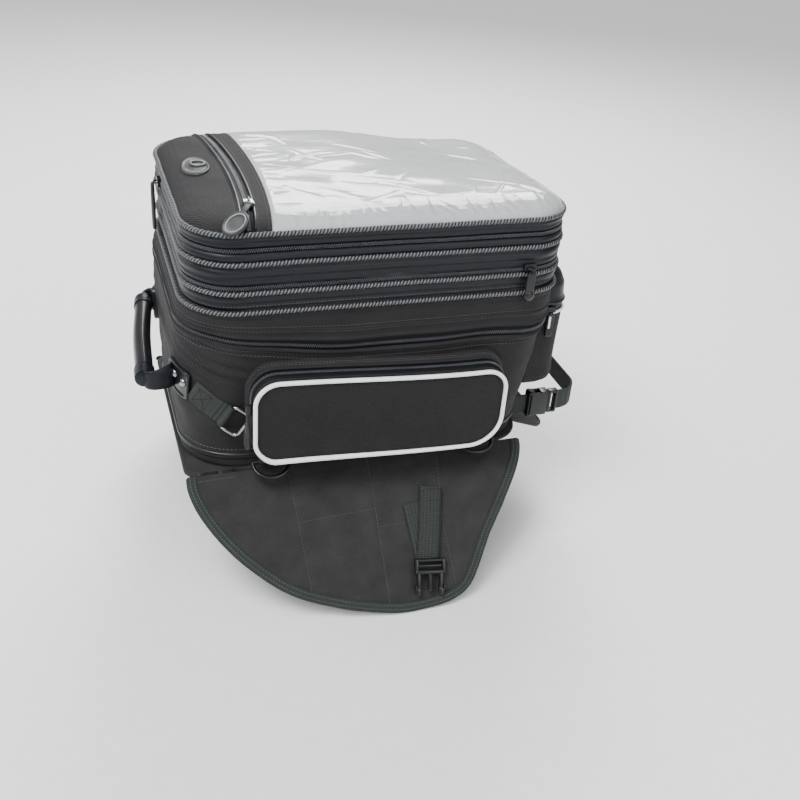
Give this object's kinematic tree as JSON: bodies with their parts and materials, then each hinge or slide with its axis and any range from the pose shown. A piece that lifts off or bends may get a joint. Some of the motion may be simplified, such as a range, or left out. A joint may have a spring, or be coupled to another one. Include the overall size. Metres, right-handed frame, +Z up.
{
  "type": "tank bag",
  "caption": "Soft tank bag on a zip-off saddle base with bound side flaps, expansion collars, padded lid with clear map pocket, side and front pockets and rear handle.",
  "frame": {"origin": "centre of the flat underside of the saddle base, where it sits on the tank", "axes": "+X forward along the motorcycle, +Y to the rider's left, +Z up"},
  "size_m": [0.5264, 0.5038, 0.4293],
  "materials": {
    "twill": "coarse black twill nylon, coated inside",
    "band": "smooth black laminated band",
    "flap_twill": "grey-black twill nylon with bound edge",
    "webbing": "woven grey-green webbing",
    "piping": "twisted rope piping, grey on black",
    "zip": "coil zip on woven tape",
    "gusset": "light folded lining fabric",
    "pad": "closed-cell foam in a fabric cover",
    "board": "stiffening board",
    "lid_foam": "pale lining over the padded lid",
    "clear": "clear flexible film",
    "rubber": "moulded rubber",
    "plastic": "moulded black plastic",
    "metal": "bright nickel-plated wire",
    "slider": "black enamelled cast slider",
    "magnet": "flexible magnet sheet sealed in the flap"
  },
  "bodies": {
    "base": {"saddle_base": "flap_twill", "base_pad": "pad", "base_webbing": "webbing", "front_buckle_socket": "plastic"},
    "front_loop": {"front_strap_loop": "webbing", "front_buckle_plug": "plastic"},
    "bag": {"wall_right": "twill", "wall_left": "twill", "wall_rear": "twill", "wall_front": "twill", "bag_floor": "board", "base_zip": "zip", "rim_piping": "piping", "main_zip": "zip", "pocket_gusset_right": "twill", "pocket_gusset_left": "twill", "front_pocket_shell": "twill", "handle_plates": "plastic", "ring_tabs": "webbing"},
    "ring_right": {"side_ring_right": "metal"},
    "ring_left": {"side_ring_left": "metal"},
    "d_rings_r": {"d_rings_right": "plastic"},
    "d_rings_l": {"d_rings_left": "plastic"},
    "pocket_right": {"pocket_panel_right": "twill"},
    "pocket_left": {"pocket_panel_left": "twill"},
    "pocket_cap": {"front_pocket_cap": "band"},
    "pocket_zip_right": {"pocket_slider_right": "slider"},
    "pocket_zip_left": {"pocket_slider_left": "slider"},
    "pocket_zip_front": {"front_pocket_slider": "slider"},
    "handle": {"handle_grip": "rubber", "handle_straps": "webbing"},
    "lower": {"lower_collar": "band", "lower_piping": "piping", "expansion_zip": "zip", "lower_gusset": "gusset"},
    "upper": {"upper_collar": "band", "upper_piping": "piping", "lid_zip": "zip", "upper_gusset": "gusset"},
    "lid": {"lid_rim": "band", "lid_piping": "piping", "lid_panel": "lid_foam", "map_window": "clear", "map_zip": "zip", "lid_rear_panel": "twill", "headphone_port": "rubber"},
    "map_zip_slider": {"map_slider": "slider"},
    "map_zip_tongue": {"map_puller": "rubber"},
    "lid_zip_slider": {"lid_slider": "slider"},
    "lid_zip_cord": {"lid_puller": "webbing"},
    "exp_zip_slider": {"expansion_slider": "slider"},
    "exp_zip_tongue": {"expansion_puller": "plastic"},
    "flap_r": {"flap_right": "flap_twill", "flap_magnets_right": "magnet"},
    "flap_l": {"flap_left": "flap_twill", "flap_magnets_left": "magnet"},
    "flap_strap_r": {"flap_strap_right": "webbing", "flap_buckle_right": "plastic"},
    "flap_strap_l": {"flap_strap_left": "webbing", "flap_buckle_left": "plastic"}
  },
  "joints": [
    {"name": "bag_lift", "type": "slide", "parent": "base", "child": "bag", "axis": [0, 0, 1], "range_m": [0, 0.12]},
    {"name": "front_buckle_release", "type": "slide", "parent": "base", "child": "front_loop", "axis": [1, 0, 0], "range_m": [0, 0.022]},
    {"name": "lower_expansion", "type": "slide", "parent": "bag", "child": "lower", "axis": [0, 0, 1], "range_m": [0, 0.038]},
    {"name": "upper_expansion", "type": "slide", "parent": "lower", "child": "upper", "axis": [0, 0, 1], "range_m": [0, 0.038]},
    {"name": "lid_open", "type": "hinge", "parent": "upper", "child": "lid", "pos_m": [0.202, 0, 0.2645], "axis": [0, 1, 0], "range_deg": [0, 110]},
    {"name": "flap_right_lift", "type": "hinge", "parent": "base", "child": "flap_r", "pos_m": [0, -0.13, 0.002], "axis": [-1, 0, 0], "range_deg": [0, 34]},
    {"name": "flap_left_lift", "type": "hinge", "parent": "base", "child": "flap_l", "pos_m": [0, 0.13, 0.002], "axis": [1, 0, 0], "range_deg": [0, 34]},
    {"name": "flap_strap_right_swing", "type": "hinge", "parent": "flap_r", "child": "flap_strap_r", "pos_m": [0.056, -0.16819, -0.02358], "axis": [-1, 0, 0], "range_deg": [0, 35]},
    {"name": "flap_strap_left_swing", "type": "hinge", "parent": "flap_l", "child": "flap_strap_l", "pos_m": [0.056, 0.16819, -0.02358], "axis": [1, 0, 0], "range_deg": [0, 35]},
    {"name": "d_rings_right_swing", "type": "hinge", "parent": "bag", "child": "d_rings_r", "pos_m": [0, -0.133, 0.0236], "axis": [-1, 0, 0], "range_deg": [0, 55]},
    {"name": "d_rings_left_swing", "type": "hinge", "parent": "bag", "child": "d_rings_l", "pos_m": [0, 0.133, 0.0236], "axis": [1, 0, 0], "range_deg": [0, 55]},
    {"name": "side_ring_right_swing", "type": "hinge", "parent": "bag", "child": "ring_right", "pos_m": [-0.1639, -0.12655, 0.07285], "axis": [-0.3626, 0.3108, -0.8786], "range_deg": [0, 60]},
    {"name": "side_ring_left_swing", "type": "hinge", "parent": "bag", "child": "ring_left", "pos_m": [-0.1639, 0.12655, 0.07285], "axis": [0.3626, 0.3108, 0.8786], "range_deg": [0, 60]},
    {"name": "pocket_right_open", "type": "hinge", "parent": "bag", "child": "pocket_right", "pos_m": [0, -0.1722, 0.029], "axis": [1, 0, 0], "range_deg": [0, 55]},
    {"name": "pocket_left_open", "type": "hinge", "parent": "bag", "child": "pocket_left", "pos_m": [0, 0.1722, 0.029], "axis": [-1, 0, 0], "range_deg": [0, 55]},
    {"name": "front_pocket_open", "type": "hinge", "parent": "bag", "child": "pocket_cap", "pos_m": [0.204, 0, 0.2035], "axis": [0, -1, 0], "range_deg": [0, 70]},
    {"name": "pocket_zip_right_run", "type": "slide", "parent": "bag", "child": "pocket_zip_right", "axis": [0, 0, 1], "range_m": [0, 0.02]},
    {"name": "pocket_zip_left_run", "type": "slide", "parent": "bag", "child": "pocket_zip_left", "axis": [0, 0, 1], "range_m": [0, 0.02]},
    {"name": "front_pocket_zip_run", "type": "slide", "parent": "bag", "child": "pocket_zip_front", "axis": [1, 0, 0], "range_m": [0, 0.014]},
    {"name": "handle_lift", "type": "hinge", "parent": "bag", "child": "handle", "pos_m": [-0.2085, 0, 0.117], "axis": [0, 1, 0], "range_deg": [0, 60]},
    {"name": "map_zip_run", "type": "slide", "parent": "lid", "child": "map_zip_slider", "axis": [0, 1, 0], "range_m": [0, 0.12]},
    {"name": "map_tongue_swing", "type": "hinge", "parent": "map_zip_slider", "child": "map_zip_tongue", "pos_m": [-0.1335, -0.1048, 0.2969], "axis": [-1, 0, 0], "range_deg": [0, 120]},
    {"name": "lid_zip_run", "type": "slide", "parent": "upper", "child": "lid_zip_slider", "axis": [0, 1, 0], "range_m": [-0.125, 0.02]},
    {"name": "lid_cord_swing", "type": "hinge", "parent": "lid_zip_slider", "child": "lid_zip_cord", "pos_m": [-0.2088, 0.052, 0.259], "axis": [0, 1, 0], "range_deg": [0, 80]},
    {"name": "expansion_zip_run", "type": "slide", "parent": "lower", "child": "exp_zip_slider", "axis": [-1, 0, 0], "range_m": [0, 0.26]},
    {"name": "expansion_tongue_swing", "type": "hinge", "parent": "exp_zip_slider", "child": "exp_zip_tongue", "pos_m": [0.152, -0.1488, 0.2225], "axis": [-1, 0, 0], "range_deg": [0, 90]}
  ],
  "couplings": [
    {"joint": "map_tongue_swing", "follows": "map_zip_run", "rad_per_m": 17.45}
  ]
}
